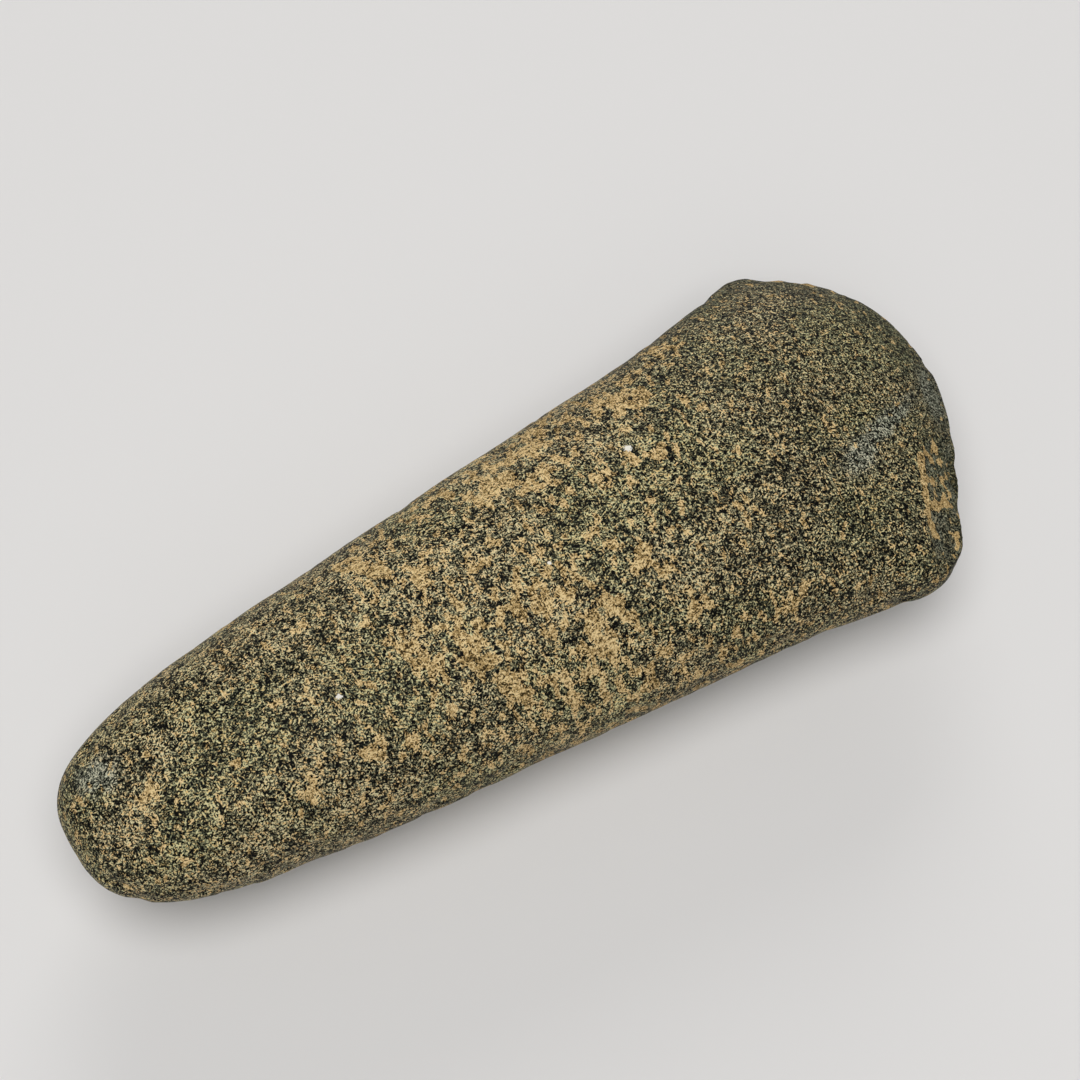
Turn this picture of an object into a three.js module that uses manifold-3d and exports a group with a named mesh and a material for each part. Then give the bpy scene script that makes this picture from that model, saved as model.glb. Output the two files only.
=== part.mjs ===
// Polished stone axe head, ground from one cobble and lying on a broad face. Sizes are in millimetres.
// The long axis runs along X, butt at -X and cutting edge at +X, and Z is up.
// The origin is below the middle of the axe, on the surface that it lies on.
import * as THREE from "three";
import { mergeVertices } from "three/addons/utils/BufferGeometryUtils.js";
import Module from "manifold-3d";

// Overall sizes
const LENGTH = 150; // butt to the crown of the cutting edge
const THICKNESS = 37; // between the two broad faces, before the flat spot is rubbed off
const BUTT_WIDTH = 31.5; // between the lines of the two sides, where they would reach the butt
const BLADE_WIDTH = 59; // between the same lines, where they would reach the crown of the edge

// Sides, which swing outwards before the edge
const FLARE = 6.4; // how far each side would swing out by the crown of the edge
const FLARE_LENGTH = 50;

// Butt, rounded in plan and in thickness
const BUTT_ROUND = 10.7; // the distance over which the rounding in plan dies away
const BUTT_BLUNT = 2.7; // 2 is a round end in plan, and more is a blunter one
const BUTT_LEAN = 0.8; // how far the end of the butt stands to the left of the long axis
const BUTT_DEPTH_ROUND = 14; // the same two values for the thickness
const BUTT_DEPTH_BLUNT = 2.4;

// Cutting edge in plan: a crown from which two unequal bows run back to the corners
const CROWN_Y = 2.1;
const CORNER_BACK = 13.8; // how far both corners stand back from the crown
const LEFT_REACH = 26.8; // from the crown across to each corner
const RIGHT_REACH = 30.8;
const LEFT_BOW = 2.95; // 1 is a straight run to the corner, and more is a fuller bow
const RIGHT_BOW = 1.45;
const LEFT_CORNER = 2; // how far back the corners are rounded
const RIGHT_CORNER = 12;

// Section through the body, and the ground faces that meet at the cutting edge
const SECTION_FLAT = 2.25; // 2 is an oval, and more is flatter on the broad faces
const THICKEST_FROM_BUTT = 79;
const CREST_FALL = 0.9; // how fast the crest falls away from the thickest place
const BEVEL_LENGTH = 33; // where the ground faces would reach the full thickness
const BEVEL_BOW = 0.82; // 1 is a flat ground face, and less is a bulging one
const BEVEL_BLEND = 5; // how sharply the ground faces meet the body
const EDGE_BLUNT = 0.15; // the radius to which wear has rounded the cutting edge

// Unevenness left by pecking and grinding: long waves in the height, as a share of it
const UNEVEN = 0.012;
const WAVES = [
  { around: 2, along: 9, from: 0 },
  { around: 3, along: -16, from: 1 },
];

// Flat spot under the axe, so that it lies still
const FLAT_DEPTH = 0.35;

// Mesh
const STEPS_ALONG = 64;
const STEPS_AROUND = 48;
const SCAR_STEPS = 16;
const OUTLINE_SAMPLES = 4000;

// Scars of flakes and chips. Each is the dent that a rounded block leaves where it dips into the face.
// along is the place between butt 0 and crown 1, and side the place between the right side -1 and the left 1.
// long, wide and deep are half the block's length, width and height, dip is how far it goes in,
// turn is the angle of its long side from the long axis, under puts it on the face below,
// and square is how boxy the block is: 2 is an ellipsoid.
const SCARS = [
  // long flake off the right of the cutting edge, in two steps
  { along: 0.943, side: -0.816, long: 7.6, wide: 5.8, deep: 2.5, dip: 0.9, turn: 62, square: 3 },
  { along: 0.901, side: -0.86, long: 6.8, wide: 3.9, deep: 2.2, dip: 0.6, turn: 68, square: 3 },
  // chip in what that flake left of the edge
  { along: 0.925, side: -0.988, long: 1.9, wide: 0.8, deep: 1.2, dip: 0.3, turn: 62, square: 2 },
  // hollows and a nick along the rest of the edge
  { along: 0.981, side: -0.928, long: 2.8, wide: 1.3, deep: 1.5, dip: 0.3, turn: 66, square: 2 },
  { along: 0.996, side: 0.8, long: 1, wide: 0.8, deep: 1.4, dip: 0.35, turn: 105, square: 2 },
  { along: 0.936, side: 0.985, long: 3.2, wide: 1.5, deep: 2, dip: 0.55, turn: 137, square: 2 },
  // flake off the left of the butt, with the step where it stopped
  { along: 0.06, side: 0.77, long: 8.5, wide: 6, deep: 4, dip: 0.35, turn: 20, square: 2 },
  { along: 0.1, side: 0.8, long: 3, wide: 3, deep: 1.8, dip: 0.45, turn: 20, square: 3 },
  // pits in the right side and the chip behind its corner
  { along: 0.412, side: -0.997, long: 1.2, wide: 1, deep: 1.2, dip: 0.4, turn: 0, square: 2 },
  { along: 0.835, side: -0.999, long: 2.6, wide: 1.1, deep: 1.4, dip: 0.4, turn: 10, square: 2, under: true },
  // shallow flakes off the underside of the edge and of the butt
  { along: 0.95, side: 0.45, long: 7, wide: 4.5, deep: 2.6, dip: 0.7, turn: 100, square: 2, under: true },
  { along: 0.05, side: -0.4, long: 6, wide: 5, deep: 3, dip: 0.6, turn: 60, square: 2, under: true },
];

const wasm = await Module();
wasm.setup();

// The lesser of two values, with the change from one to the other rounded over the blend.
function smoothMin(a, b, blend) {
  const near = Math.max(blend - Math.abs(a - b), 0) / blend;
  return Math.min(a, b) - (near * near * blend) / 4;
}

// How far a round end has opened at a distance from its tip, from 0 to 1.
function opening(distance, round, blunt) {
  return (1 - Math.exp(-distance / round)) ** (1 / blunt);
}

// The left and right side of the plan, at a distance from the butt.
function outline(fromButt) {
  const flared = Math.max(fromButt - LENGTH + FLARE_LENGTH, 0) / FLARE_LENGTH;
  const taper = ((BLADE_WIDTH - BUTT_WIDTH) / 2) * (fromButt / LENGTH);
  const side = (BUTT_WIDTH / 2 + taper + FLARE * flared ** 2) * opening(fromButt, BUTT_ROUND, BUTT_BLUNT);
  const back = Math.max(LENGTH - fromButt, 0) / CORNER_BACK;
  const leftEdge = CROWN_Y + LEFT_REACH * back ** (1 / LEFT_BOW);
  const rightEdge = -CROWN_Y + RIGHT_REACH * back ** (1 / RIGHT_BOW);
  const lean = BUTT_LEAN * Math.exp(-fromButt / (2 * BUTT_ROUND));
  return {
    left: smoothMin(side, leftEdge, LEFT_CORNER) + lean,
    right: -smoothMin(side, rightEdge, RIGHT_CORNER) + lean,
  };
}

// How far a point of the plan stands back from the cutting edge, square to the edge.
function behindEdge(fromButt, y) {
  const left = y >= CROWN_Y;
  const reach = left ? LEFT_REACH : RIGHT_REACH;
  const bow = left ? LEFT_BOW : RIGHT_BOW;
  const across = Math.abs(y - CROWN_Y) / reach;
  const edge = LENGTH - CORNER_BACK * across ** bow;
  const slope = ((CORNER_BACK * bow) / reach) * across ** (bow - 1);
  return Math.max(edge - fromButt, 0) / Math.hypot(1, slope);
}

// Half the thickness, where side runs from -1 on the right side to 1 on the left.
function halfHeight(fromButt, y, side) {
  const fall = CREST_FALL * ((fromButt - THICKEST_FROM_BUTT) / LENGTH) ** 2;
  const crest = (THICKNESS / 2) * (1 - fall) * opening(fromButt, BUTT_DEPTH_ROUND, BUTT_DEPTH_BLUNT);
  const body = crest * Math.sqrt(Math.max(1 - Math.abs(side) ** SECTION_FLAT, 0));
  const behind = behindEdge(fromButt, y);
  const rounded = Math.sqrt(behind * (behind + 2 * EDGE_BLUNT));
  const bevel = (THICKNESS / 2) * (rounded / BEVEL_LENGTH) ** BEVEL_BOW;
  return (body ** -BEVEL_BLEND + bevel ** -BEVEL_BLEND) ** (-1 / BEVEL_BLEND);
}

// The surface, at a distance from the butt and an angle round the long axis from the left side up.
function surfacePoint(fromButt, angle) {
  const { left, right } = outline(fromButt);
  const side = Math.cos(angle);
  const y = (left + right) / 2 + ((left - right) / 2) * side;
  const swell = WAVES.map(({ around, along, from }) =>
    Math.sin(around * angle + (along * fromButt) / LENGTH + from),
  );
  const uneven = 1 + UNEVEN * swell.reduce((sum, wave) => sum + wave);
  const z = Math.sign(Math.sin(angle)) * halfHeight(fromButt, y, side) * uneven;
  return new THREE.Vector3(fromButt - LENGTH / 2, y, z);
}

// Distances from the butt that are evenly spaced along the plan's outline.
function evenStations(count) {
  const samples = Array.from(
    { length: OUTLINE_SAMPLES + 1 },
    (_, i) => (LENGTH * (1 - Math.cos((Math.PI * i) / OUTLINE_SAMPLES))) / 2,
  );
  const width = ({ left, right }) => (left - right) / 2;
  const run = [0];
  for (let i = 1; i < samples.length; i++) {
    const wider = width(outline(samples[i])) - width(outline(samples[i - 1]));
    run.push(run[i - 1] + Math.hypot(samples[i] - samples[i - 1], wider));
  }
  const stations = [0];
  let at = 0;
  for (let i = 1; i < count; i++) {
    const wanted = (run.at(-1) * i) / count;
    while (run[at + 1] < wanted) {
      at++;
    }
    const share = (wanted - run[at]) / (run[at + 1] - run[at]);
    stations.push(samples[at] + share * (samples[at + 1] - samples[at]));
  }
  return [...stations, LENGTH];
}

// A closed three.js geometry as a solid.
function solidOf(geometry) {
  const bare = geometry.clone();
  bare.deleteAttribute("normal");
  bare.deleteAttribute("uv");
  const merged = mergeVertices(bare);
  return new wasm.Manifold(
    new wasm.Mesh({
      numProp: 3,
      vertProperties: merged.attributes.position.array,
      triVerts: new Uint32Array(merged.index.array),
    }),
  );
}

// The whole axe before it was damaged: a sphere whose poles become the butt and the crown of the edge.
function groundForm() {
  const geometry = new THREE.SphereGeometry(1, STEPS_AROUND, STEPS_ALONG);
  const stations = evenStations(STEPS_ALONG);
  const { position, uv } = geometry.attributes;
  for (let i = 0; i < position.count; i++) {
    const station = stations[Math.round(uv.getY(i) * STEPS_ALONG)];
    const { x, y, z } = surfacePoint(station, uv.getX(i) * 2 * Math.PI);
    position.setXYZ(i, x, y, z);
  }
  return solidOf(geometry);
}

// The way out of the surface at a point, from two short steps across it.
function outwards(fromButt, angle) {
  const step = 0.05;
  const onwards = surfacePoint(fromButt + step, angle).sub(surfacePoint(fromButt - step, angle));
  const round = surfacePoint(fromButt, angle + step).sub(surfacePoint(fromButt, angle - step));
  return round.cross(onwards).normalize();
}

// The rounded block of one scar, laid on the surface with its long side turned from the long axis.
function scarTool({ along, side, long, wide, deep, dip, turn, square, under }) {
  const fromButt = along * LENGTH;
  const angle = Math.acos(side) * (under ? -1 : 1);
  const out = outwards(fromButt, angle);
  const heading = THREE.MathUtils.degToRad(turn);
  const aim = new THREE.Vector3(Math.cos(heading), Math.sin(heading), 0);
  const across = out.clone().cross(aim).normalize();
  const ahead = across.clone().cross(out);
  const frame = new THREE.Matrix4().makeBasis(ahead, across, out);
  frame.setPosition(surfacePoint(fromButt, angle).addScaledVector(out, deep - dip));
  const block = new THREE.SphereGeometry(1, SCAR_STEPS, SCAR_STEPS / 2);
  const { position } = block.attributes;
  for (let i = 0; i < position.count; i++) {
    const corner = new THREE.Vector3().fromBufferAttribute(position, i);
    const size = corner.toArray().reduce((sum, v) => sum + Math.abs(v) ** square, 0) ** (1 / square);
    position.setXYZ(i, ...corner.divideScalar(size).toArray());
  }
  return solidOf(block.scale(long, wide, deep).applyMatrix4(frame));
}

// The form with its scars cut in and its flat spot rubbed off. A crumb that a scar cuts loose falls away.
function damagedForm() {
  let solid = groundForm();
  for (const scar of SCARS) {
    solid = solid.subtract(scarTool(scar));
  }
  const lowest = solid.boundingBox().min[2];
  const slab = new THREE.BoxGeometry(2 * LENGTH, 2 * LENGTH, THICKNESS);
  slab.translate(0, 0, lowest + FLAT_DEPTH - THICKNESS / 2);
  const bodies = solid.subtract(solidOf(slab)).decompose();
  return bodies.sort((a, b) => b.volume() - a.volume())[0];
}

// The mesh, moved so that the origin is below the middle of its box.
function axeHead() {
  const { vertProperties, triVerts } = damagedForm().getMesh();
  const geometry = new THREE.BufferGeometry();
  geometry.setAttribute("position", new THREE.BufferAttribute(vertProperties, 3));
  geometry.setIndex(new THREE.BufferAttribute(triVerts, 1));
  geometry.computeBoundingBox();
  const { min, max } = geometry.boundingBox;
  geometry.translate(-(min.x + max.x) / 2, -(min.y + max.y) / 2, -min.z);
  geometry.computeVertexNormals();
  const stone = new THREE.MeshStandardMaterial({ color: "#5c5843", roughness: 0.6, metalness: 0 });
  const mesh = new THREE.Mesh(geometry, stone);
  mesh.name = "axe_head";
  return mesh;
}

const axe = new THREE.Group();
axe.add(axeHead());

export default axe;
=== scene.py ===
import itertools
import math

import bpy
import numpy as np
from mathutils import Matrix, Vector


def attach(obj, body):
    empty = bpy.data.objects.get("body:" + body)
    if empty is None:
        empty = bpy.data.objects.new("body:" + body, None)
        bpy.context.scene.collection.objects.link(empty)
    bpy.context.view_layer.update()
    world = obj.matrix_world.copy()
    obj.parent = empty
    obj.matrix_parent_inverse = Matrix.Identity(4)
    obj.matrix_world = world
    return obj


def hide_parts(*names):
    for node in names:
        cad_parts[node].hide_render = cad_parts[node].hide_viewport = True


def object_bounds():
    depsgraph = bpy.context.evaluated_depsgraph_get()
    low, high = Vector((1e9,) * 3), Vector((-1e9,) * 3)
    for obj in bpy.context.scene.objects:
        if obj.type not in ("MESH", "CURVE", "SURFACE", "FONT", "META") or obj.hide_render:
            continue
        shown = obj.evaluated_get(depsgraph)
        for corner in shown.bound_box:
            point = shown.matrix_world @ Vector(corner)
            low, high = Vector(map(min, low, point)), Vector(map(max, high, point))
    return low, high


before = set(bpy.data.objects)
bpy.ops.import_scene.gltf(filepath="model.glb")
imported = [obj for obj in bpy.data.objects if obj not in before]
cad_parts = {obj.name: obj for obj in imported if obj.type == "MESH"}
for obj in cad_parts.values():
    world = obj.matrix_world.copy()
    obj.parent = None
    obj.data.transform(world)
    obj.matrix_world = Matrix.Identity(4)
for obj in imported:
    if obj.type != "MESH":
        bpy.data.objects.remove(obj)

CAD_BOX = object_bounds()
MM = 0.001

# Form of the axe, with the same sizes as its construction
LENGTH = 150 * MM  # butt to the crown of the cutting edge
THICKNESS = 37 * MM
BUTT_WIDTH = 31.5 * MM  # between the lines of the two sides, where they would reach the butt
BLADE_WIDTH = 59 * MM  # between the same lines at the crown of the edge
FLARE = 6.4 * MM  # how far each side swings out by the crown of the edge
FLARE_LENGTH = 50 * MM
BUTT_ROUND = 10.7 * MM  # the distance over which the butt's rounding in plan dies away
BUTT_BLUNT = 2.7  # 2 is a round end in plan, and more is a blunter one
BUTT_LEAN = 0.8 * MM
BUTT_DEPTH_ROUND = 14 * MM
BUTT_DEPTH_BLUNT = 2.4
CROWN_Y = 2.1 * MM
CORNER_BACK = 13.8 * MM  # how far both corners of the edge stand back from its crown
LEFT_REACH = 26.8 * MM
RIGHT_REACH = 30.8 * MM
LEFT_BOW = 2.95  # 1 is a straight run to the corner, and more is a fuller bow
RIGHT_BOW = 1.45
LEFT_CORNER = 2 * MM
RIGHT_CORNER = 12 * MM
SECTION_FLAT = 2.25  # 2 is an oval section, and more is flatter on the broad faces
THICKEST_FROM_BUTT = 79 * MM
CREST_FALL = 0.9
BEVEL_LENGTH = 33 * MM  # where the ground faces would reach the full thickness
BEVEL_BOW = 0.82
BEVEL_BLEND = 5
EDGE_BLUNT = 0.15 * MM
UNEVEN = 0.012  # long waves in the height, as a share of it
WAVES = [(2, 9, 0), (3, -16, 1)]  # waves round the axe, along it, and where they start
FLAT_DEPTH = 0.35 * MM  # how much the flat spot below takes off

# Relief that is finer than the construction's. A cell is the size of a random field's lumps.
SCAR_EDGES = [(0.12, 2.4 * MM, 1), (0.06, 1.1 * MM, 2)]  # raggedness as a share, cell and seed
DIMPLE_DEPTH = 0.35 * MM  # of the pecked hollows on the broad faces
SIDE_DIMPLE_DEPTH = 0.4 * MM  # what is added to that on the two sides
DIMPLE_CELL = 2.8 * MM
DIMPLE_POWER = 1.5  # 1 is a cone of a hollow, and more is a bowl with a soft rim
GRIT_DEPTH = 0.035 * MM
GRIT_CELL = 1.1 * MM
SWELL_DEPTH = 0.2 * MM
SWELL_CELL = 9 * MM
GROUND_LENGTH = 26 * MM  # the ground face behind the edge, which fades out over as much again
GROUND_AWAY = 0.75  # the share of the relief that grinding took off
SIDE_POWER = 6  # how narrow the sides are, which were ground less
NICK_DEPTH = 0.35 * MM  # of the nicks in the rim of the edge
NICK_RIM = 2 * MM  # how far behind the edge they die away
NICK_CELLS = (2.2 * MM, 5 * MM)  # of single nicks, and of the runs that they come in
NICK_RUNS_MORE = 0.3  # 0 nicks half of the edge, and more nicks more of it
NICK_HUB = 30 * MM  # the place on the long axis that they point to
NICK_REACH = 40 * MM  # about how far that is
BLADE_SHARE = 0.8  # of the length, past which the wear of the edge is drawn
RIM_LENGTH = 6 * MM  # of the polish behind the edge
CORNER_BREADTH = 0.14  # of the polish along the left corner, as a share of half the width
CORNER_FROM = 0.6  # and where it starts, as a share of the length
CORNER_RISE = 0.2  # and how soon it is whole
RIM_POLISH = 0.55
SCAR_POLISH = 0.45  # of the fresh breaks in the blade, which are finer than a pecked face
SCAR_BARE = 0.3  # how much less soil film they carry
STAIN_BASE = 0.25  # of the soil that all of the pecked stone holds
STAIN_GROUND_AWAY = 0.12  # and how much less of it the ground face holds
STAIN_RANGE = 0.8

# Mesh: rows along the axe times columns round it, with two triangles for each place
ROWS = 338
COLUMNS = 290
OUTLINE_SAMPLES = 4000
PROBE = 0.05  # half the step that slopes are taken over, in millimetres along and in radians round
HALVINGS = 24
CARVE_NARROWING = (0.88, 0.75, 0)  # how the goal of a carving line lies nearer to the middle of the axe
CARVE_BACK = (1.2 * MM, 0, 0)  # and how far it lies towards the butt
NO_AREA = 1e-15  # in square metres, under which a step round a pole has no direction
MARK_FALL = 0.7  # how fast a mark fades past its half sizes
MARK_HEIGHT = 3  # a mark's half height as a share of its half length

# The mixing of the random lattice's whole numbers, in 32 bits
AXIS_FACTORS = (73856093, 19349663, 83492791)
SEED_FACTOR = 6971
MIXES = [(13, 1274126177), (16, 2246822519)]  # how far each shifts, and what it multiplies by
ALL_BITS = 0xFFFFFFFF
HALF_RANGE = 0x7FFFFFFF

# Scars, each the dent that a rounded block leaves where it dips into the face. along runs from butt 0
# to crown 1, and side from the right side -1 to the left 1. long, wide and deep are half the block's
# size in millimetres, dip is how far it goes in, turn is its angle from the long axis in degrees,
# square is how boxy it is (2 is an ellipsoid), and under puts it on the face below.
SCARS = [
    # long flake off the right of the cutting edge, in two steps
    dict(along=0.943, side=-0.816, long=7.6, wide=5.8, deep=2.5, dip=0.9, turn=62, square=3),
    dict(along=0.901, side=-0.86, long=6.8, wide=3.9, deep=2.2, dip=0.6, turn=68, square=3),
    # chip in what that flake left of the edge
    dict(along=0.925, side=-0.988, long=1.9, wide=0.8, deep=1.2, dip=0.3, turn=62, square=2),
    # notch through the edge itself, ending in a step by the corner
    dict(along=0.938, side=-0.9995, long=4.2, wide=6, deep=2, dip=0.8, turn=66, square=4),
    # hollows and a nick along the rest of the edge
    dict(along=0.981, side=-0.928, long=2.8, wide=1.3, deep=1.5, dip=0.3, turn=66, square=2),
    dict(along=0.996, side=0.8, long=1, wide=0.8, deep=1.4, dip=0.35, turn=105, square=2),
    dict(along=0.936, side=0.985, long=3.2, wide=1.5, deep=2, dip=0.55, turn=137, square=2),
    # flake off the left of the butt, with the step where it stopped
    dict(along=0.06, side=0.77, long=8.5, wide=6, deep=4, dip=0.35, turn=20, square=2),
    dict(along=0.1, side=0.8, long=3, wide=3, deep=1.8, dip=0.45, turn=20, square=3),
    # pits in the right side and the chip behind its corner
    dict(along=0.412, side=-0.997, long=1.2, wide=1, deep=1.2, dip=0.4, turn=0, square=2),
    dict(along=0.835, side=-0.999, long=2.6, wide=1.1, deep=1.4, dip=0.4, turn=10, square=2, under=True),
    # shallow flakes off the underside of the edge and of the butt
    dict(along=0.95, side=0.45, long=7, wide=4.5, deep=2.6, dip=0.7, turn=100, square=2, under=True),
    dict(along=0.05, side=-0.4, long=6, wide=5, deep=3, dip=0.6, turn=60, square=2, under=True),
]

# Patches of ochre soil crust large enough to stand out, by place, half length and half width in
# millimetres, and turn. Where the waist was pecked the crust lies in streaks round the girth.
CRUSTS = [
    dict(along=0.365, side=-0.24, long=5, wide=1.7, turn=104),
    dict(along=0.415, side=-0.4, long=5, wide=1.6, turn=106),
    dict(along=0.432, side=-0.68, long=4.5, wide=2, turn=104),
    dict(along=0.495, side=-0.29, long=3.4, wide=2, turn=60),
    dict(along=0.526, side=-0.72, long=3.4, wide=2.6, turn=90),
    dict(along=0.557, side=-0.6, long=4, wide=1.2, turn=110),
    dict(along=0.476, side=-0.81, long=3, wide=1.8, turn=40),
    dict(along=0.514, side=0.52, long=3.6, wide=2.2, turn=10),
    dict(along=0.562, side=0.4, long=4.4, wide=1.8, turn=20),
    dict(along=0.562, side=0.66, long=3.2, wide=1.4, turn=8),
    dict(along=0.683, side=0.6, long=4, wide=2.4, turn=12),
    dict(along=0.749, side=0.8, long=3, wide=1.8, turn=12),
    dict(along=0.683, side=0.18, long=1.8, wide=1.6, turn=0),
    dict(along=0.737, side=0.33, long=1.7, wide=1.4, turn=0),
    dict(along=0.604, side=-0.36, long=2.8, wide=1.5, turn=100),
    dict(along=0.63, side=-0.72, long=2.4, wide=1.5, turn=30),
    dict(along=0.711, side=-0.89, long=2.4, wide=1.5, turn=20),
    dict(along=0.37, side=0.48, long=3.2, wide=2.4, turn=60),
    dict(along=0.415, side=0.26, long=2.6, wide=1.4, turn=150),
    dict(along=0.32, side=-0.73, long=2, wide=1.7, turn=0),
    dict(along=0.282, side=-0.68, long=2, wide=1.7, turn=90),
    dict(along=0.209, side=-0.73, long=2, wide=1.4, turn=0),
    dict(along=0.08, side=-0.15, long=2.2, wide=1.2, turn=0),
    dict(along=0.716, side=-0.32, long=1.5, wide=1.2, turn=0),
    dict(along=0.607, side=0.2, long=4, wide=1.4, turn=0),
    # in the long flake scar, beside its solid lines
    dict(along=0.938, side=-0.73, long=4.2, wide=2.4, turn=62),
]

# Stretches where more soil crust is drawn than on the rest: the middle of each, how far it runs and how
# broad it is as shares of the length and of half the width, and how much more is drawn
STAINS = [
    # the pecked waist, and the two shoulders of the body, which come out paler
    dict(along=0.48, run=0.2, side=-0.25, breadth=0.75, most=0.85),
    dict(along=0.57, run=0.22, side=0.78, breadth=0.3, most=1.3),
    dict(along=0.55, run=0.25, side=-0.95, breadth=0.15, most=1.1),
]

# Thicker crust in lines of even width, by the places that each runs through and half its width in
# millimetres
CRUST_LINES = [
    # under the inner wall of the long flake scar, across its middle, and on what is left of the edge
    dict(through=[(0.924, -0.519), (0.906, -0.624), (0.893, -0.73), (0.885, -0.835)], wide=0.4),
    dict(through=[(0.902, -0.72), (0.918, -0.79), (0.926, -0.85)], wide=0.5),
    dict(through=[(0.914, -0.945), (0.904, -0.975)], wide=0.3),
    # in the hollow by the left corner of the edge
    dict(through=[(0.915, 0.975), (0.95, 0.945)], wide=0.35),
]

# Pale crumbs of soil and feldspar that stick to the face, by place and half size in millimetres
CRUMBS = [
    dict(along=0.649, side=0.27, size=0.65),
    dict(along=0.28, side=-0.27, size=0.4),
    dict(along=0.519, side=-0.15, size=0.3),
]

# Places where the stone is polished clean of its film and shows a lighter neutral grey, which is also
# painted sheen: the bluish glint that polished facets throw
BARE_AND_SHEEN_MARKS = [
    dict(along=0.86, side=-0.3, long=4.2, wide=1.8, turn=18),
    dict(along=0.905, side=-0.235, long=8, wide=1.3, turn=14),
    dict(along=0.979, side=-0.55, long=4.5, wide=1.6, turn=75),
    dict(along=0.051, side=0.38, long=3.6, wide=2.2, turn=150),
]


def smooth_min(a, b, blend):
    """The lesser of two values, less a quarter of the blend times the square of how near they are."""
    near = np.maximum(blend - np.abs(a - b), 0) / blend
    return np.minimum(a, b) - near**2 * blend / 4


def opening(distance, rounding, blunt):
    """How far a round end has opened: the blunt-th root of one minus e to minus distance over rounding."""
    return (1 - np.exp(-distance / rounding)) ** (1 / blunt)


def outline(from_butt):
    """Left and right side of the plan.

    Each side is a straight taper plus a square-law flare, closed by the round butt, and cut off by the
    edge's bow, which reaches out by a power of the distance behind the crown.
    """
    flared = np.maximum(from_butt - LENGTH + FLARE_LENGTH, 0) / FLARE_LENGTH
    taper = (BLADE_WIDTH - BUTT_WIDTH) / 2 * from_butt / LENGTH
    side = (BUTT_WIDTH / 2 + taper + FLARE * flared**2) * opening(from_butt, BUTT_ROUND, BUTT_BLUNT)
    back = np.maximum(LENGTH - from_butt, 0) / CORNER_BACK
    left_edge = CROWN_Y + LEFT_REACH * back ** (1 / LEFT_BOW)
    right_edge = -CROWN_Y + RIGHT_REACH * back ** (1 / RIGHT_BOW)
    lean = BUTT_LEAN * np.exp(-from_butt / (2 * BUTT_ROUND))
    left = smooth_min(side, left_edge, LEFT_CORNER) + lean
    right = -smooth_min(side, right_edge, RIGHT_CORNER) + lean
    return left, right


def behind_edge(from_butt, y):
    """Distance behind the cutting edge, square to it: the distance along X over the edge's slope."""
    left = y >= CROWN_Y
    reach = np.where(left, LEFT_REACH, RIGHT_REACH)
    bow = np.where(left, LEFT_BOW, RIGHT_BOW)
    across = np.abs(y - CROWN_Y) / reach
    edge = LENGTH - CORNER_BACK * across**bow
    slope = CORNER_BACK * bow / reach * across ** (bow - 1)
    return np.maximum(edge - from_butt, 0) / np.hypot(1, slope)


def half_height(from_butt, y, side):
    """Half the thickness: the oval body and the ground bevel, blended by a negative power mean."""
    fall = CREST_FALL * ((from_butt - THICKEST_FROM_BUTT) / LENGTH) ** 2
    crest = THICKNESS / 2 * (1 - fall) * opening(from_butt, BUTT_DEPTH_ROUND, BUTT_DEPTH_BLUNT)
    body = crest * np.sqrt(np.maximum(1 - np.abs(side) ** SECTION_FLAT, 0))
    behind = behind_edge(from_butt, y)
    rounded = np.sqrt(behind * (behind + 2 * EDGE_BLUNT))
    bevel = THICKNESS / 2 * (rounded / BEVEL_LENGTH) ** BEVEL_BOW
    with np.errstate(divide="ignore"):
        return (body**-BEVEL_BLEND + bevel**-BEVEL_BLEND) ** (-1 / BEVEL_BLEND)


def ground_form(from_butt, angle):
    """Points of the unbroken axe, where angle goes round the long axis from the left side up.

    Across, a point is at the cosine of the angle between the two sides. Its height is the half height,
    up or down by the sign of the sine, and varied a little by sine waves.
    """
    left, right = outline(from_butt)
    side = np.cos(angle)
    y = (left + right) / 2 + (left - right) / 2 * side
    swell = sum(np.sin(n * angle + k * from_butt / LENGTH + start) for n, k, start in WAVES)
    z = np.sign(np.sin(angle)) * half_height(from_butt, y, side) * (1 + UNEVEN * swell)
    x = from_butt - LENGTH / 2 + 0 * angle
    return np.stack(np.broadcast_arrays(x, y, z), axis=-1)


def even_stations(count):
    """Distances from the butt, evenly spaced along the outline of half the plan."""
    samples = LENGTH * (1 - np.cos(np.pi * np.linspace(0, 1, OUTLINE_SAMPLES))) / 2
    left, right = outline(samples)
    steps = np.hypot(np.diff(samples), np.diff((left - right) / 2))
    run = np.concatenate([[0], np.cumsum(steps)])
    return np.interp(np.linspace(0, run[-1], count), run, samples)


def lay_on(along, side, turn, under=False):
    """A point of the form and three directions there: ahead by the turn, across, and out of the surface."""
    from_butt = along * LENGTH
    angle = math.acos(side) * (-1 if under else 1)
    point = ground_form(from_butt, angle)
    onwards = ground_form(from_butt + PROBE * MM, angle) - ground_form(from_butt - PROBE * MM, angle)
    around = ground_form(from_butt, angle + PROBE) - ground_form(from_butt, angle - PROBE)
    out = np.cross(around, onwards)
    out /= np.linalg.norm(out)
    aim = [math.cos(math.radians(turn)), math.sin(math.radians(turn)), 0]
    across = np.cross(out, aim)
    across /= np.linalg.norm(across)
    return point, np.cross(across, out), across, out


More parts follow.
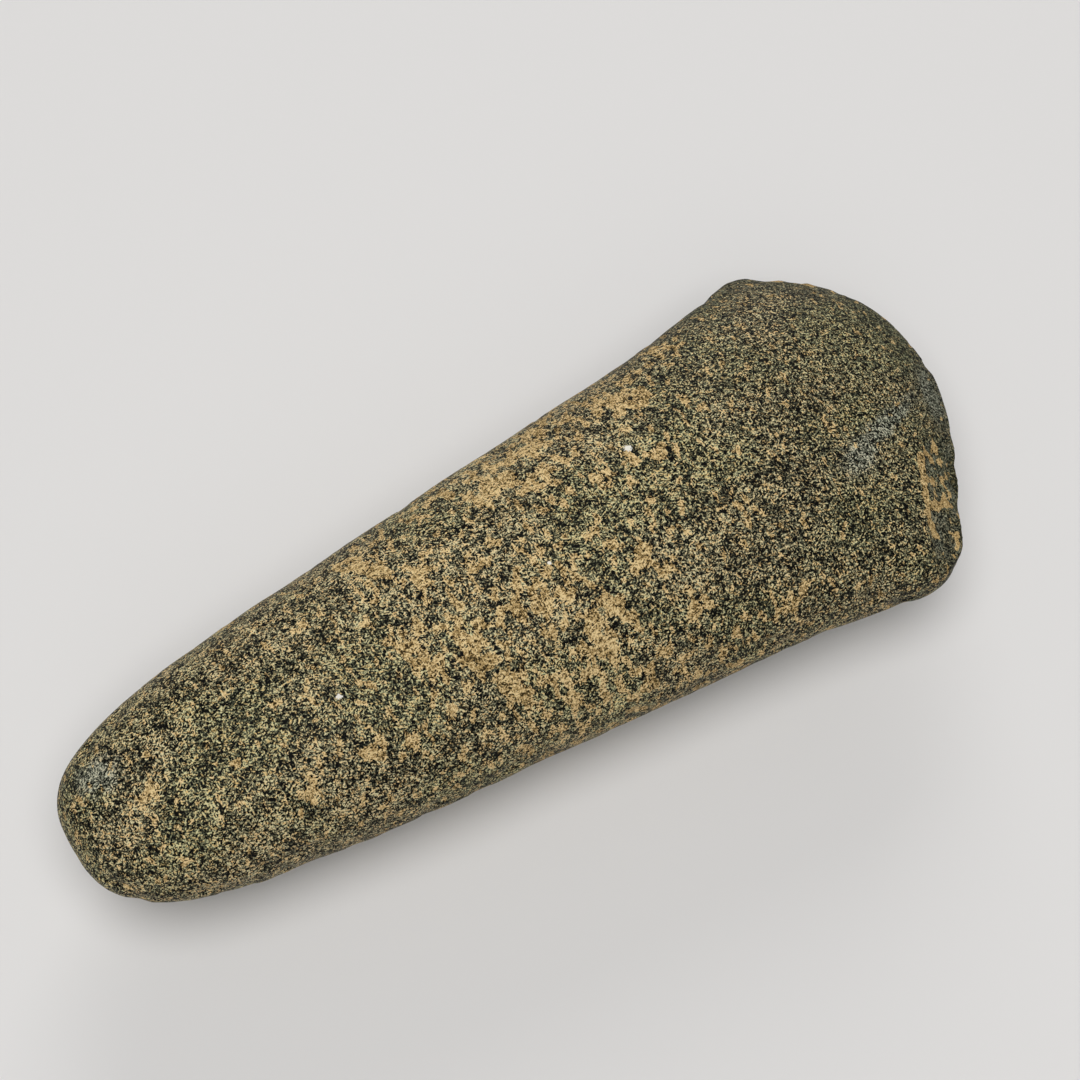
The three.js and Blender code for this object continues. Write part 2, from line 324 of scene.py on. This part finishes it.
def soft_random(points, cell, seed):
    """A smooth random field from -1 to 1.

    Each corner of a cubic lattice has a number of its own, mixed from its three whole coordinates and
    the seed, and between corners the numbers are blended by 3t^2 - 2t^3 along each axis.
    """
    place = points / cell
    corner = np.floor(place).astype(np.int64)
    part = place - corner
    blend = part**2 * (3 - 2 * part)
    total = np.zeros(points.shape[:-1])
    for step in itertools.product((0, 1), repeat=3):
        whole = corner + step
        key = seed * SEED_FACTOR
        for axis, factor in enumerate(AXIS_FACTORS):
            key = key ^ whole[..., axis] * factor
        for shift, factor in MIXES:
            key = (key ^ key >> shift) * factor & ALL_BITS
        weight = np.prod(np.where(step, blend, 1 - blend), axis=-1)
        total += weight * (key / HALF_RANGE - 1)
    return total


def normals_of(grid):
    """Outward directions on the grid: the cross product of the steps round it and along it."""
    around = np.roll(grid, -1, axis=1) - np.roll(grid, 1, axis=1)
    along = np.gradient(grid, axis=0)
    normal = np.cross(around, along)
    length = np.linalg.norm(normal, axis=-1, keepdims=True)
    return normal / np.maximum(length, NO_AREA)


def inside_of(points, scar, ragged):
    """How deep points are in a scar's block, below 1 inside: the sum of the powers of the three shares."""
    point, ahead, across, out = lay_on(scar["along"], scar["side"], scar["turn"], scar.get("under", False))
    centre = point + out * (scar["deep"] - scar["dip"]) * MM
    local = (points - centre) @ np.stack([ahead, across, out], axis=-1)
    share = np.abs(local / (np.array([scar["long"], scar["wide"], scar["deep"]]) * MM))
    return np.sum(share ** scar["square"], axis=-1) + ragged


def carve(grid, scar, rough):
    """Moves each point that is in the scar's block to where a line into the stone leaves the block.

    The line aims at the middle plane of the axe, a little back from the point and nearer to the long
    axis, and the place where it leaves is found by halving.
    """
    hit = inside_of(grid, scar, rough) < 1
    start = grid[hit]
    goal = start * CARVE_NARROWING - CARVE_BACK
    near = np.zeros(len(start))
    far = np.ones(len(start))
    for _ in range(HALVINGS):
        middle = (near + far) / 2
        inside = inside_of(start + middle[:, None] * (goal - start), scar, rough[hit]) < 1
        near = np.where(inside, middle, near)
        far = np.where(inside, far, middle)
    carved = grid.copy()
    carved[hit] = start + far[:, None] * (goal - start)
    return carved, hit


def mark(grid, places):
    """A field that is 1 in the middle of each place and falls to 0 as a bell curve outside it."""
    field = np.zeros(grid.shape[:-1])
    for place in places:
        point, ahead, across, _ = lay_on(place["along"], place["side"], place["turn"])
        local = grid - point
        along = local @ ahead / (place["long"] * MM)
        sideways = local @ across / (place["wide"] * MM)
        height = np.linalg.norm(local, axis=-1) / (MARK_HEIGHT * place["long"] * MM)
        field = np.maximum(field, np.exp(-MARK_FALL * (along**2 + sideways**2 + height**2)))
    return field


def bell(distance, width):
    """A bell curve: e to minus the square of the distance over the width."""
    return np.exp(-((distance / width) ** 2))


def broken(whole):
    """The form with its scars carved, and 1 where a scar is."""
    grid = whole
    rough = sum(depth * soft_random(grid, cell, seed) for depth, cell, seed in SCAR_EDGES)
    scarred = np.zeros(grid.shape[:-1])
    for scar in SCARS:
        grid, hit = carve(grid, scar, rough)
        scarred = np.maximum(scarred, hit)
    return grid, scarred


def nicked(grid, whole, behind, blade):
    """The grid with its edge nicked by use: the rim moves inwards where two random fields are high."""
    plan = whole * [1, 1, 0]
    single, run = NICK_CELLS
    nick = np.sqrt(np.maximum(soft_random(plan, single, 6), 0))
    nick *= np.maximum(soft_random(plan, run, 7) + NICK_RUNS_MORE, 0)
    outwards = (grid - [NICK_HUB, 0, 0]) * [1, 1, 0] / NICK_REACH
    return grid - outwards * (NICK_DEPTH * nick * bell(behind, NICK_RIM) * blade)[..., None]


def pecked(grid, ground, sides):
    """The grid with its dimples, grit and swells pressed in along its normals, less where it was ground."""
    dimples = np.maximum(soft_random(grid, DIMPLE_CELL, 3), 0) ** DIMPLE_POWER
    relief = (DIMPLE_DEPTH + SIDE_DIMPLE_DEPTH * sides) * dimples
    relief += GRIT_DEPTH * soft_random(grid, GRIT_CELL, 4)
    relief += SWELL_DEPTH * soft_random(grid, SWELL_CELL, 5)
    left = 1 - GROUND_AWAY * ground * (1 - sides)
    return grid - normals_of(grid) * (relief * left)[..., None]


def set_down(grid):
    """The grid with a flat spot below and its poles shut, made to fill the construction's box."""
    height = grid[..., 2:]
    grid = np.concatenate([grid[..., :2], np.maximum(height, height.min() + FLAT_DEPTH)], axis=-1)
    low, high = (np.array(corner) for corner in CAD_BOX)
    span = np.ptp(grid.reshape(-1, 3), axis=0)
    placed = low + (grid - grid.reshape(-1, 3).min(axis=0)) / span * (high - low)
    placed[0] = placed[0].mean(axis=0)
    placed[-1] = placed[-1].mean(axis=0)
    return placed


def finish_fields(whole, share, side, behind, ground, scarred):
    """How much of each thing the finish shows, by name.

    The share is of the length, the side runs from -1 to 1, and scarred is 1 in the scars of the blade.
    """
    stain = np.zeros(share.shape)
    for patch in STAINS:
        reach = bell(share - patch["along"], patch["run"]) * bell(side - patch["side"], patch["breadth"])
        stain = np.maximum(stain, patch["most"] * reach)
    rim = bell(behind, RIM_LENGTH)
    corner = bell(side - 1, CORNER_BREADTH) * np.clip((share - CORNER_FROM) / CORNER_RISE, 0, 1)
    upper = whole[..., 2] > 0
    return {
        "stain": STAIN_BASE - STAIN_GROUND_AWAY * ground + STAIN_RANGE * stain,
        "crust": mark(whole, CRUSTS) * upper,
        # Painted sheen of polished facets in the marked places, and the scars' fresher stone with less film
        "rubbed": np.maximum(mark(whole, BARE_AND_SHEEN_MARKS), SCAR_BARE * scarred) * upper,
        "ground": ground,
        "smooth": np.maximum(RIM_POLISH * np.maximum(rim, corner), SCAR_POLISH * scarred),
    }


def axe_surface():
    """The grid of the damaged axe and the fields that its finish reads."""
    from_butt = even_stations(ROWS + 1)[:, None]
    angle = np.linspace(0, 2 * np.pi, COLUMNS, endpoint=False)[None, :]
    whole = ground_form(from_butt, angle)
    side = np.cos(angle) + 0 * from_butt
    share = from_butt / LENGTH + 0 * angle
    blade = share > BLADE_SHARE
    behind = behind_edge(from_butt, whole[..., 1])
    ground = np.clip(1 - (behind - GROUND_LENGTH) / GROUND_LENGTH, 0, 1)
    grid, scarred = broken(whole)
    grid = nicked(grid, whole, behind, blade)
    grid = pecked(grid, ground, np.abs(side) ** SIDE_POWER)
    return set_down(grid), finish_fields(whole, share, side, behind, ground, scarred * blade)


def closed_mesh(name, grid, fields):
    """A mesh of the grid, whose first and last rows are poles, with its fields as attributes."""
    rows, columns, _ = grid.shape
    inner = grid[1:-1].reshape(-1, 3)
    points = np.concatenate([inner, grid[0, :1], grid[-1, :1]])
    number = np.arange((rows - 2) * columns).reshape(rows - 2, columns)
    after = np.roll(number, -1, axis=1)
    quads = np.stack([number[:-1], after[:-1], after[1:], number[1:]], axis=-1).reshape(-1, 4)
    butt, crown = len(inner), len(inner) + 1
    butt_fan = np.stack([np.full(columns, butt), after[0], number[0]], axis=-1)
    crown_fan = np.stack([number[-1], after[-1], np.full(columns, crown)], axis=-1)
    mesh = bpy.data.meshes.new(name)
    mesh.from_pydata(points.tolist(), [], quads.tolist() + butt_fan.tolist() + crown_fan.tolist())
    for key, field in fields.items():
        values = np.concatenate([field[1:-1].ravel(), field[0, :1], field[-1, :1]])
        mesh.attributes.new(key, "FLOAT", "POINT").data.foreach_set("value", values.astype(np.float32))
    mesh.shade_smooth()
    mesh.update()
    return mesh


# Grain of the stone. Fine dolerite has laths of feldspar about 0.3 mm long and 0.06 mm wide. A pixel
# of the picture is 0.16 mm, so they are drawn nearly twice as long and three times as wide.
LATH_SIZE = (0.5 * MM, 0.17 * MM, 0.3 * MM)  # long, wide and deep
LATH_TURNS = (0.4, 1.5, 2.6)  # in radians round Z
WARP = 0.12 * MM  # how far the grains' outlines wander
WARP_CELL = 0.4 * MM  # and over what distance
GATHER_CELL = 0.25 * MM  # of the dust between the laths
CLUMP_CELL = 2.6 * MM  # of the paler and darker clumps
GREEN_CELL = 14 * MM  # of the stretches that are a little greener
GREEN_LIMITS = (0.4, 0.65)  # of their noise
SHEEN_AND_WEAR_CELL = 1.5 * MM  # of the ragged rims of the grey places with painted sheen
SHEEN_AND_WEAR_LIMITS = (0.6, 1.2, 0.7)  # of their level plus its noise, and how fully the grey and painted sheen then show

# How pale the stone is, from 0 to 1, is the base plus each pattern times its weight
PALE_BASE = -2.16
LATH_WEIGHT = 2.2
GATHER_WEIGHT = 1.9
CLUMP_WEIGHT = 1.35
CLUMP_GROUND_AWAY = -0.8  # what grinding adds to that weight
GROUND_DARKER = -0.07
POLISHED_TONE = 0.52  # which the smooth places tend to

# Ochre soil crust. Its level is a noise plus each pattern times its weight, and it shows where the
# level is past the first of two limits, and is whole past the second.
SOIL_CELL = 2.2 * MM
SOIL_NARROWING = 1.6  # how much shorter its patches are along the axe than round the girth
STAIN_WEIGHT = 0.12
CRUST_WEIGHT = 0.21
PALE_WEIGHT = 0.06
LINE_WEIGHT = 0.29
SOIL_FROM = 0.695
SOIL_FULL = 0.711
LINE_CORE = 0.4  # the share of a line's half width that is solid
LINE_FADE = 2  # and where its crust has faded out
DRIFT = 1.1 * MM  # how far its lines and the crumbs wander
DRIFT_CELL = 1.2 * MM  # and over what distance
MIDDLE_HEIGHT = 18.5 * MM  # of the edge, which parts the upper face from the lower
CRUMB_RAGGED = 1.2  # how much dust is added to the distance from a crumb, in the crumb's own size
CRUMB_CORE = 1.3  # the sum within which it is solid, in that size too
CRUMB_FADE = 1.6  # and where it ends

# Roughness of the ground stone and of the soil, and the grit that both feel of
STONE_ROUGHNESS = 0.6
SOIL_ROUGHNESS = 0.85
GRIT_BUMP = 0.15 * MM
STONE_IOR = 1.6
STONE_SPECULAR = 0.06  # low, since a pecked face throws its gloss all ways


def linear(hex_colour):
    """An sRGB hex colour as linear red, green and blue, with an alpha of 1."""
    parts = [int(hex_colour[i : i + 2], 16) / 255 for i in (1, 3, 5)]
    return tuple(c / 12.92 if c <= 0.04045 else ((c + 0.055) / 1.055) ** 2.4 for c in parts) + (1,)


def add(tree, kind, inputs, stops=None, **settings):
    """Adds a node: settings are its own properties, inputs are values or sockets to link, by name or
    number, and stops are a colour ramp's places and colours."""
    node = tree.nodes.new(kind)
    for key, value in settings.items():
        setattr(node, key, value)
    for key, value in inputs.items():
        if isinstance(value, bpy.types.NodeSocket):
            tree.links.new(value, node.inputs[key])
        else:
            node.inputs[key].default_value = value
    if stops:
        ramp = node.color_ramp.elements
        while len(ramp) < len(stops):
            ramp.new(0.5)
        for element, (place, colour) in zip(ramp, stops):
            element.position = place
            element.color = linear(colour)
    return node


def calculate(tree, operation, *values):
    """Adds a math node that works on the values, and gives its result."""
    return add(tree, "ShaderNodeMath", dict(enumerate(values)), operation=operation).outputs[0]


def noise(tree, place, size, detail=2.0, roughness=0.5):
    """Adds soft noise whose features are about as large as the size, and gives it from 0 to 1."""
    settings = {"Vector": place, "Scale": 1 / size, "Detail": detail, "Roughness": roughness}
    return add(tree, "ShaderNodeTexNoise", settings).outputs["Fac"]


def rise(tree, value, start, end, top=1.0):
    """Adds a smooth step, from 0 where the value is at the start to the top where it is at the end."""
    settings = {"Value": value, "From Min": start, "From Max": end, "To Max": top}
    return add(tree, "ShaderNodeMapRange", settings, interpolation_type="SMOOTHSTEP").outputs[0]


def blend(tree, factor, first, second, blend_type="MIX"):
    """Adds a mix of two colours, and gives it."""
    inputs = {"Factor": factor, "A": first, "B": second}
    return add(tree, "ShaderNodeMix", inputs, data_type="RGBA", blend_type=blend_type).outputs[2]


def far_from(tree, plan, places):
    """Distance in plan from a line through the places, or from the one place.

    For each stretch of the line, the step from its start is dotted with its run over the square of its
    length, which gives how far along the nearest point is, from 0 to 1.
    """
    on_form = [ground_form(along * LENGTH, math.acos(side)) for along, side in places]
    points = [Vector((x, y, 0)) for x, y, _ in on_form]
    nearest = None
    for start, end in zip(points, points[1:] or points):
        run = end - start
        step = add(tree, "ShaderNodeVectorMath", {0: plan, 1: start}, operation="SUBTRACT").outputs[0]
        if run.length > 0:
            scaled = run / run.length_squared
            share = add(
                tree, "ShaderNodeVectorMath", {0: step, 1: scaled}, operation="DOT_PRODUCT",
            ).outputs["Value"]
            share = add(tree, "ShaderNodeClamp", {"Value": share}).outputs[0]
            foot = add(tree, "ShaderNodeVectorMath", {0: run, "Scale": share}, operation="SCALE").outputs[0]
            step = add(tree, "ShaderNodeVectorMath", {0: step, 1: foot}, operation="SUBTRACT").outputs[0]
        distance = add(tree, "ShaderNodeVectorMath", {0: step}, operation="LENGTH").outputs["Value"]
        nearest = distance if nearest is None else calculate(tree, "MINIMUM", nearest, distance)
    return nearest


def new_material(name):
    """An empty node material and its tree."""
    material = bpy.data.materials.new(name)
    material.use_nodes = True
    material.node_tree.nodes.clear()
    return material, material.node_tree


def wander(tree, place, cell, detail, reach):
    """Adds soft drift to a place: a noise's colour, less a half, times how far it reaches."""
    drift = add(tree, "ShaderNodeTexNoise", {"Vector": place, "Scale": 1 / cell, "Detail": detail})
    moved = add(
        tree, "ShaderNodeVectorMath", {0: drift.outputs["Color"], 1: (reach,) * 3, 2: place},
        operation="MULTIPLY_ADD",
    ).outputs[0]
    return add(tree, "ShaderNodeVectorMath", {0: moved, 1: (-reach / 2,) * 3}, operation="ADD").outputs[0]


def weighed(tree, value, weight, total):
    """Adds a value times its weight to a total."""
    return calculate(tree, "MULTIPLY_ADD", value, weight, total)


def grain_and_pit_shade(tree, place, ragged, field):
    """How pale the stone is, from 0 to 1, with the kind of each grain and the dust between grains.

    It is the highest of three fields of long cells, each lying its own way, plus fine and coarse noise. Its
    darkest specks are dark grains, and also painted shade in the pecked pits.
    """
    lath = 0.0
    for turn in LATH_TURNS:
        cells = add(
            tree, "ShaderNodeMapping", {"Vector": ragged, "Rotation": (0, 0, turn), "Scale": LATH_SIZE},
            vector_type="TEXTURE",
        ).outputs[0]
        grains = add(tree, "ShaderNodeTexVoronoi", {"Vector": cells, "Scale": 1.0})
        grain, kind, _ = add(tree, "ShaderNodeSeparateColor", {0: grains.outputs["Color"]}).outputs
        lath = calculate(tree, "MAXIMUM", lath, grain)
    dust = noise(tree, place, GATHER_CELL, 1.0)
    clump = calculate(tree, "SUBTRACT", noise(tree, place, CLUMP_CELL, 4.0, 0.62), 0.5)
    clump_weight = weighed(tree, field["ground"], CLUMP_GROUND_AWAY, CLUMP_WEIGHT)
    pale = weighed(tree, lath, LATH_WEIGHT, PALE_BASE)
    pale = weighed(tree, dust, GATHER_WEIGHT, pale)
    pale = weighed(tree, clump, clump_weight, pale)
    pale = weighed(tree, field["ground"], GROUND_DARKER, pale)
    calmer = calculate(tree, "SUBTRACT", POLISHED_TONE, pale)
    return weighed(tree, calmer, field["smooth"], pale), kind, dust


def stone_colour(tree, place, pale, kind, field):
    """Near black to cream by how pale it is, with painted shade of the pecked pits in its darkest specks,
    tinted by grain, and a lighter neutral grey in the marked places, which is polished stone and also
    painted sheen.
    """
    # The near-black stops are dark grains, and also painted shade in the pecked pits
    stone = add(
        tree, "ShaderNodeValToRGB", {0: pale},
        stops=[(0.13, "#020201"), (0.35, "#1a1d16"), (0.56, "#525245"), (0.8, "#938c70"), (1.0, "#dfcfa6")],
    ).outputs[0]
    tint = add(
        tree, "ShaderNodeValToRGB", {0: kind},
        stops=[(0.0, "#ffe3bf"), (0.4, "#fef8ec"), (0.8, "#fafffa"), (1.0, "#eff6f3")],
    ).outputs[0]
    stone = blend(tree, 1.0, stone, tint, "MULTIPLY")
    green = rise(tree, noise(tree, place, GREEN_CELL, 1.0), *GREEN_LIMITS)
    stone = blend(tree, green, stone, linear("#f6fdf7"), "MULTIPLY")
    # A lighter neutral grey: polished stone stripped of its film, and painted sheen of polished facets
    grey_and_sheen = add(
        tree, "ShaderNodeValToRGB", {0: pale},
        stops=[(0.1, "#090a07"), (0.35, "#31342b"), (0.55, "#65685b"), (0.75, "#94988a"), (1.0, "#bfc3b3")],
    ).outputs[0]
    sheen_and_wear = calculate(tree, "ADD", field["rubbed"], noise(tree, place, SHEEN_AND_WEAR_CELL, 3.0))
    return blend(tree, rise(tree, sheen_and_wear, *SHEEN_AND_WEAR_LIMITS), stone, grey_and_sheen)


def soil_cover(tree, ragged, plan, above, pale, field):
    """Where the soil crust lies, as 0 or 1 with a short slope between.

    Its patches are noise squeezed along the axe, raised by the fields and near the lines.
    """
    squeeze = (SOIL_NARROWING, 1.0, 1.0)
    girth = add(tree, "ShaderNodeMapping", {"Vector": ragged, "Scale": squeeze}).outputs[0]
    level = weighed(tree, field["stain"], STAIN_WEIGHT, noise(tree, girth, SOIL_CELL, 4.0, 0.45))
    level = weighed(tree, field["crust"], CRUST_WEIGHT, level)
    level = weighed(tree, pale, PALE_WEIGHT, level)
    for line in CRUST_LINES:
        half = line["wide"] * MM
        core = rise(tree, far_from(tree, plan, line["through"]), LINE_FADE * half, LINE_CORE * half)
        level = weighed(tree, calculate(tree, "MULTIPLY", core, above), LINE_WEIGHT, level)
    return rise(tree, level, SOIL_FROM, SOIL_FULL)


def ground_dolerite():
    """Dolerite, a dark igneous stone, pecked to shape and then ground with sand and water.

    To the eye it is a salt and pepper of near black and olive grains, whose darkest specks are also
    painted shade in the pecked pits, with ochre soil crust held in the pecked hollows, a lighter neutral
    grey where the stone is polished clean, which is also painted sheen of polished facets, and calmer at
    the polished rim.
    """
    material, tree = new_material("ground_dolerite")
    place = add(tree, "ShaderNodeTexCoord", {}).outputs["Object"]
    field = {
        key: add(tree, "ShaderNodeAttribute", {}, attribute_name=key).outputs["Fac"]
        for key in ("stain", "crust", "rubbed", "ground", "smooth")
    }
    ragged = wander(tree, place, WARP_CELL, 1.0, WARP)
    drifted = wander(tree, place, DRIFT_CELL, 3.0, DRIFT)
    plan = add(tree, "ShaderNodeVectorMath", {0: drifted, 1: (1, 1, 0)}, operation="MULTIPLY").outputs[0]
    height = add(tree, "ShaderNodeSeparateXYZ", {0: place}).outputs[2]
    above = calculate(tree, "GREATER_THAN", height, MIDDLE_HEIGHT)

    pale, kind, dust = grain_and_pit_shade(tree, place, ragged, field)
    stone = stone_colour(tree, place, pale, kind, field)
    covered = soil_cover(tree, ragged, plan, above, pale, field)
    soil = add(
        tree, "ShaderNodeValToRGB", {0: pale},
        stops=[(0.0, "#352b17"), (0.2, "#7e6840"), (0.5, "#ae9261"), (1.0, "#e2c996")],
    ).outputs[0]
    colour = blend(tree, covered, stone, soil)
    for crumb in CRUMBS:
        size = crumb["size"] * MM
        distance = far_from(tree, plan, [(crumb["along"], crumb["side"])])
        distance = weighed(tree, dust, CRUMB_RAGGED * size, distance)
        core = rise(tree, distance, CRUMB_FADE * size, CRUMB_CORE * size)
        colour = blend(tree, calculate(tree, "MULTIPLY", core, above), colour, linear("#e6e2d8"))

    bump = add(tree, "ShaderNodeBump", {"Height": dust, "Strength": 0.6, "Distance": GRIT_BUMP})
    limits = {"To Min": STONE_ROUGHNESS, "To Max": SOIL_ROUGHNESS}
    shader = add(tree, "ShaderNodeBsdfPrincipled", {
        "Base Color": colour,
        "Roughness": add(tree, "ShaderNodeMapRange", {"Value": covered, **limits}).outputs[0],
        "IOR": STONE_IOR,
        "Specular IOR Level": STONE_SPECULAR,
        "Normal": bump.outputs[0],
    })
    add(tree, "ShaderNodeOutputMaterial", {"Surface": shader.outputs[0]})
    return material


def matt_card():
    """Matt white card, pressed from pulp: it has no gloss, and its shadows stay soft and clean."""
    material, tree = new_material("matt_card")
    shader = add(
        tree, "ShaderNodeBsdfPrincipled",
        {"Base Color": linear("#dedddd"), "Roughness": 1.0, "Specular IOR Level": 0.1},
    )
    add(tree, "ShaderNodeOutputMaterial", {"Surface": shader.outputs[0]})
    return material


FLOOR_HALF = 3.0


def make_floor():
    """The pale floor that the axe lies on."""
    mesh = bpy.data.meshes.new("floor")
    corners = [(x * FLOOR_HALF, y * FLOOR_HALF, 0) for x, y in [(-1, -1), (1, -1), (1, 1), (-1, 1)]]
    mesh.from_pydata(corners, [], [(0, 1, 2, 3)])
    mesh.materials.append(matt_card())
    floor = bpy.data.objects.new("floor", mesh)
    bpy.context.scene.collection.objects.link(floor)


# The camera looks down from the right of the butt's side: right, up and back are its own directions
CAMERA_AZIMUTH = math.radians(-31.337)
CAMERA_ELEVATION = math.radians(65)
CAMERA_DISTANCE = 450 * MM
LOOKED_AT = Vector((12.44 * MM, 14.973 * MM, 0))
SENSOR = 36.0  # in millimetres, as Blender takes it
FOCAL_IN_PIXELS = 2841.8
PICTURE_IN_PIXELS = 1080
CLIP_START = 0.01
LAMP_DISTANCE = 2.2
LAMPS = [  # tilt from overhead in degrees, width in metres and power in watts
    dict(name="overhead_lamp", tilt=-13, size=1.86, energy=38.5),
    dict(name="low_lamp", tilt=66, size=1.35, energy=18.5),
    dict(name="front_lamp", tilt=-50, size=1.35, energy=3.8),
]


def make_camera():
    """The camera, placed by the two angles and the distance, with its X to the right and its Z back."""
    sin_a, cos_a = math.sin(CAMERA_AZIMUTH), math.cos(CAMERA_AZIMUTH)
    sin_e, cos_e = math.sin(CAMERA_ELEVATION), math.cos(CAMERA_ELEVATION)
    back = Vector((sin_a * cos_e, -cos_a * cos_e, sin_e))
    right = Vector((cos_a, sin_a, 0))
    turn = Matrix((right, back.cross(right), back)).transposed().to_4x4()
    data = bpy.data.cameras.new("camera")
    data.sensor_width = SENSOR
    data.lens = FOCAL_IN_PIXELS / PICTURE_IN_PIXELS * SENSOR
    data.clip_start = CLIP_START
    camera = bpy.data.objects.new("camera", data)
    camera.matrix_world = Matrix.Translation(LOOKED_AT + back * CAMERA_DISTANCE) @ turn
    bpy.context.scene.collection.objects.link(camera)
    bpy.context.scene.camera = camera


def add_lamp(name, tilt, size, energy):
    """A round soft lamp that looks at the axe, tilted from overhead towards the top of the picture."""
    lamp = bpy.data.lights.new(name, "AREA")
    lamp.shape = "DISK"
    lamp.size = size
    lamp.energy = energy
    lamp.color = linear("#fffefc")[:3]
    away = Vector((-math.sin(CAMERA_AZIMUTH), math.cos(CAMERA_AZIMUTH), 0))
    towards = away * math.sin(math.radians(tilt)) + Vector((0, 0, math.cos(math.radians(tilt))))
    light = bpy.data.objects.new(name, lamp)
    turn = towards.to_track_quat("Z", "Y").to_matrix().to_4x4()
    light.matrix_world = Matrix.Translation(towards * LAMP_DISTANCE) @ turn
    bpy.context.scene.collection.objects.link(light)


def make_light():
    """A large soft lamp overhead, weaker ones low behind the axe and in front, and faint even light."""
    for lamp in LAMPS:
        add_lamp(**lamp)
    world = bpy.data.worlds.new("studio")
    world.use_nodes = True
    background = world.node_tree.nodes["Background"]
    background.inputs["Color"].default_value = linear("#f4f5f6")
    background.inputs["Strength"].default_value = 0.15
    bpy.context.scene.world = world
    bpy.context.scene.view_settings.view_transform = "Standard"


def make_axe():
    """The axe head, which stands for the solid axe_head, hung from the root body while that solid is
    hidden.
    """
    grid, fields = axe_surface()
    mesh = closed_mesh("polished_axe", grid, fields)
    mesh.materials.append(ground_dolerite())
    axe = bpy.data.objects.new("polished_axe", mesh)
    bpy.context.scene.collection.objects.link(axe)
    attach(axe, "root")
    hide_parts("axe_head")


make_camera()
make_light()
make_floor()
make_axe()
